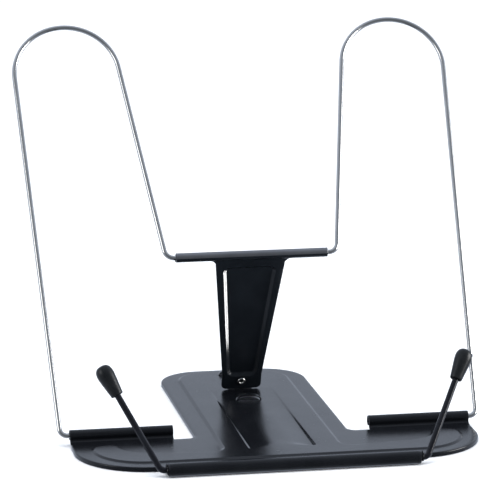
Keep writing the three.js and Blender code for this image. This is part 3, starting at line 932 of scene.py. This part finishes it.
class Look:
    """A Principled material with small helpers for its node chain."""

    def __init__(self, name):
        self.material = bpy.data.materials.new(name)
        self.material.use_nodes = True
        self.tree = self.material.node_tree
        self.shader = self.tree.nodes["Principled BSDF"]
        self.where = self.node("ShaderNodeTexCoord").outputs["Object"]

    def node(self, kind, **settings):
        made = self.tree.nodes.new(kind)
        for key, value in settings.items():
            setattr(made, key, value)
        return made

    def put(self, socket, value):
        if hasattr(value, "is_linked"):
            self.tree.links.new(value, socket)
        else:
            socket.default_value = value

    def noise(self, scale, detail=2.0, roughness=0.5):
        made = self.node("ShaderNodeTexNoise")
        self.put(made.inputs["Vector"], self.where)
        made.inputs["Scale"].default_value = scale
        made.inputs["Detail"].default_value = detail
        made.inputs["Roughness"].default_value = roughness
        return made.outputs["Fac"]

    def span(self, value, low, high, to_low, to_high):
        made = self.node("ShaderNodeMapRange")
        for key, what in zip(("Value", "From Min", "From Max", "To Min", "To Max"),
                             (value, low, high, to_low, to_high)):
            self.put(made.inputs[key], what)
        return made.outputs["Result"]

    def math(self, operation, a, b):
        made = self.node("ShaderNodeMath", operation=operation)
        self.put(made.inputs[0], a)
        self.put(made.inputs[1], b)
        return made.outputs[0]

    def blend(self, factor, a, b):
        made = self.node("ShaderNodeMix", data_type="RGBA")
        self.put(made.inputs["Factor"], factor)
        self.put(made.inputs["A"], a)
        self.put(made.inputs["B"], b)
        return made.outputs["Result"]

    def worn_edges(self, low=0.53, high=0.6):
        point = self.node("ShaderNodeNewGeometry").outputs["Pointiness"]
        return self.span(point, low, high, 0.0, 1.0)

    def bump(self, height, distance, strength, normal=None):
        made = self.node("ShaderNodeBump")
        made.inputs["Distance"].default_value = distance
        made.inputs["Strength"].default_value = strength
        self.put(made.inputs["Height"], height)
        if normal is not None:
            self.put(made.inputs["Normal"], normal)
        return made.outputs["Normal"]


def paint(name, dark, light, rough_low, rough_high, peel):
    """Semi-gloss black powder paint: fine orange peel, faint cloudiness, thin film on edges."""
    look = Look(name)
    cloud = look.noise(38, 4, 0.55)
    body = look.blend(look.span(cloud, 0.3, 0.7, 0.0, 1.0), (*dark, 1), (*light, 1))
    edge = look.math("MULTIPLY", look.worn_edges(), look.span(look.noise(160), 0.35, 0.7, 0, 1))
    look.put(look.shader.inputs["Base Color"],
             look.blend(look.math("MULTIPLY", edge, 0.35), body, (0.11, 0.115, 0.125, 1)))
    rough = look.span(look.math("ADD", look.math("MULTIPLY", cloud, 0.6),
                                look.math("MULTIPLY", look.noise(420, 3), 0.4)),
                      0.3, 0.7, rough_low, rough_high)
    look.put(look.shader.inputs["Roughness"], rough)
    look.shader.inputs["Specular IOR Level"].default_value = 0.3
    waves = look.bump(look.noise(520, 1.5, 0.4), 0.0003, peel)
    grain = look.bump(look.noise(2600, 2, 0.5), 0.00006, peel * 0.8, waves)
    look.put(look.shader.inputs["Normal"], grain)
    return look.material


def chrome(name, tone, rough_low, rough_high):
    """Grey to bright metal with a fine grain and a little haze."""
    look = Look(name)
    haze = look.noise(55, 4, 0.6)
    dark = tuple(c * 0.86 for c in tone)
    look.put(look.shader.inputs["Base Color"],
             look.blend(look.span(haze, 0.3, 0.7, 0, 1), (*dark, 1), (*tone, 1)))
    look.shader.inputs["Metallic"].default_value = 1.0
    look.shader.inputs["Specular Tint"].default_value = (0.22, 0.23, 0.24, 1)
    fine = look.noise(900, 3, 0.6)
    look.put(look.shader.inputs["Roughness"],
             look.span(look.math("ADD", look.math("MULTIPLY", haze, 0.5),
                                 look.math("MULTIPLY", fine, 0.5)),
                       0.3, 0.7, rough_low, rough_high))
    look.put(look.shader.inputs["Normal"], look.bump(fine, 0.00004, 0.25))
    return look.material


def rubber(name):
    """Satin moulded rubber with a fine matt grain and slightly paler rubbed high spots."""
    look = Look(name)
    cloud = look.noise(120, 4, 0.6)
    body = look.blend(look.span(cloud, 0.3, 0.7, 0, 1), (0.005, 0.006, 0.007, 1),
                      (0.010, 0.011, 0.012, 1))
    look.put(look.shader.inputs["Base Color"],
             look.blend(look.math("MULTIPLY", look.worn_edges(0.52, 0.58), 0.2), body,
                        (0.06, 0.06, 0.065, 1)))
    look.put(look.shader.inputs["Roughness"], look.span(cloud, 0.3, 0.7, 0.26, 0.36))
    look.shader.inputs["Specular IOR Level"].default_value = 0.28
    soft = look.bump(look.noise(700, 2, 0.5), 0.0002, 0.16)
    look.put(look.shader.inputs["Normal"], look.bump(look.noise(5200, 2), 0.00005, 0.3, soft))
    return look.material


def pale_floor():
    look = Look("pale_floor")
    look.put(look.shader.inputs["Base Color"],
             look.blend(look.span(look.noise(3, 3), 0.3, 0.7, 0, 1),
                        (0.93, 0.93, 0.93, 1), (0.95, 0.95, 0.95, 1)))
    look.shader.inputs["Roughness"].default_value = 0.9
    look.shader.inputs["Specular IOR Level"].default_value = 0.1
    return look.material


# ---- assembly -------------------------------------------------------------------------------


def finish_piece(obj, material, body, slot, *nodes):
    paint_all(obj, material)
    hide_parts(*nodes)
    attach(obj, body)


def paint_curl_sheen(obj, material):
    """The upper face of the prop's curl gets grey metal as a painted sheen, standing in for overhead
    light reflected off the black paint.
    """
    obj.data.materials.append(material)
    for face in obj.data.polygons:
        _, y, z = face.center / MM
        out = math.hypot(y - BAR_Y, z - BAR_Z)
        if abs(out - CURL_INNER - SHEET) < 0.2 and z > BAR_Z - 0.1 and y < BAR_Y + 0.8:
            face.material_index = 1


BLACK, BLACK_LIT = (0.004, 0.0045, 0.006), (0.007, 0.008, 0.010)
finish_piece(build_base(), paint("base_black", BLACK, BLACK_LIT, 0.20, 0.28, 0.05),
             "base", "base_paint", "base_plate")
finish_piece(build_frame(), chrome("wire_chrome", (0.64, 0.63, 0.61), 0.12, 0.20),
             "frame", "frame_chrome", "wire_frame")
PROP = build_prop()
finish_piece(PROP, paint("prop_black", (0.008, 0.010, 0.013), (0.012, 0.015, 0.019),
                         0.16, 0.24, 0.05), "prop", "prop_paint", "prop_plate")
# Painted sheen: the curl's upper face is grey metal in place of the overhead light that the black paint
# reflects there.
paint_curl_sheen(PROP, chrome("curl_painted_sheen", (0.30, 0.30, 0.31), 0.30, 0.42))
finish_piece(build_hook(), paint("hook_black", BLACK, BLACK_LIT, 0.26, 0.36, 0.05),
             "prop", "hook_paint", "foot_hook")
finish_piece(build_rivet(), chrome("rivet_nickel", (0.84, 0.83, 0.80), 0.14, 0.24),
             "prop", "rivet_chrome", "foot_rivet")
ARM_PAINT = paint("arm_black", (0.005, 0.005, 0.007), (0.008, 0.009, 0.012), 0.14, 0.22, 0.05)
CAP_RUBBER = rubber("cap_rubber")
for side, word in ((-1, "left"), (1, "right")):
    finish_piece(build_arm(side, f"arm_wire_{word}"), ARM_PAINT,
                 f"arm_{word}", "arm_paint", f"page_arm_{word}")
    finish_piece(build_cap(side, f"rubber_tip_{word}"), CAP_RUBBER,
                 f"arm_{word}", "cap_rubber", f"arm_cap_{word}")


# ---- stage, light and camera ----------------------------------------------------------------


def make_floor():
    """A wide pale floor, hidden from reflections so that the black paint stays dark."""
    half = 5000.0
    steps = np.linspace(-half, half, 21)
    surface = Surface()
    surface.add_grid([[(x, y, 0.0) for x in steps] for y in steps])
    floor = new_object("floor", surface.verts, surface.faces)
    floor.data.shade_smooth()
    paint_all(floor, pale_floor())
    floor.location.z = -0.0002
    floor.visible_glossy = False


def make_world():
    """Pale surroundings, brightest behind and dimmer on the camera's side."""
    world = bpy.data.worlds.new("studio")
    bpy.context.scene.world = world
    world.use_nodes = True
    nodes, links = world.node_tree.nodes, world.node_tree.links
    back = nodes["Background"]
    where = nodes.new("ShaderNodeTexCoord")
    split = nodes.new("ShaderNodeSeparateXYZ")
    links.new(where.outputs["Generated"], split.inputs[0])
    ramp = nodes.new("ShaderNodeValToRGB")
    depth = nodes.new("ShaderNodeMapRange")
    depth.inputs["From Min"].default_value = -1.0
    depth.inputs["From Max"].default_value = 1.0
    links.new(split.outputs["Y"], depth.inputs["Value"])
    links.new(depth.outputs["Result"], ramp.inputs["Fac"])
    low, high = ramp.color_ramp.elements
    low.position, low.color = 0.1, (0.16, 0.18, 0.21, 1)
    high.position, high.color = 0.75, (0.72, 0.80, 0.95, 1)
    links.new(ramp.outputs["Color"], back.inputs["Color"])
    back.inputs["Strength"].default_value = 1.0


def area_light(name, place, target, size, power, tint=(1, 1, 1)):
    light = bpy.data.lights.new(name, "AREA")
    light.shape = "RECTANGLE"
    light.size, light.size_y = size
    light.energy = power
    light.color = tint
    obj = bpy.data.objects.new(name, light)
    bpy.context.scene.collection.objects.link(obj)
    obj.location = place
    obj.rotation_euler = (Vector(target) - Vector(place)).to_track_quat("-Z", "Y").to_euler()
    return obj


def sun_light(name, direction, spread, power):
    """A soft sheet of light from above, hidden from reflections."""
    light = bpy.data.lights.new(name, "SUN")
    light.energy = power
    light.angle = math.radians(spread)
    obj = bpy.data.objects.new(name, light)
    bpy.context.scene.collection.objects.link(obj)
    obj.rotation_euler = Vector(direction).to_track_quat("-Z", "Y").to_euler()
    obj.visible_glossy = False


def make_camera():
    """The photograph's angle: from the viewer's left of centre and a little above."""
    turn, down = math.radians(10.58), math.radians(12.05)
    reach = 1.9546
    ahead = Vector((math.sin(turn) * math.cos(down), math.cos(turn) * math.cos(down),
                    -math.sin(down)))
    camera = bpy.data.cameras.new("camera")
    camera.lens = 219.5
    camera.sensor_width = 36.0
    camera.clip_start, camera.clip_end = 0.05, 30.0
    obj = bpy.data.objects.new("camera", camera)
    bpy.context.scene.collection.objects.link(obj)
    obj.location = Vector((-0.0167, -0.0406, 0.1291)) - ahead * reach
    obj.rotation_euler = ahead.to_track_quat("-Z", "Y").to_euler()
    bpy.context.scene.camera = obj


make_floor()
make_world()
sun_light("ceiling", (0.15, 0.1, -1.0), 55, 2.1)
area_light("right_soft", (1.7, -0.45, 0.5), (0, 0, 0.1), (1.1, 1.0), 32)
area_light("left_soft", (-1.7, -0.5, 0.8), (0, 0, 0.1), (0.7, 1.0), 7)
# A card below the floor on the right, seen only in the prop's reflections: it shows up as the
# bright wall of the dish from the front, and as a pale patch on the flat face from 315,25.
CARDED = bpy.data.collections.new("carded")
CARDED.objects.link(PROP)
CARD = area_light("right_card", (0.5, 0.06, -0.28), (0, 0.045, 0.06), (0.34, 0.34), 14)
CARD.light_linking.receiver_collection = CARDED
make_camera()
bpy.context.scene.view_settings.view_transform = "Standard"
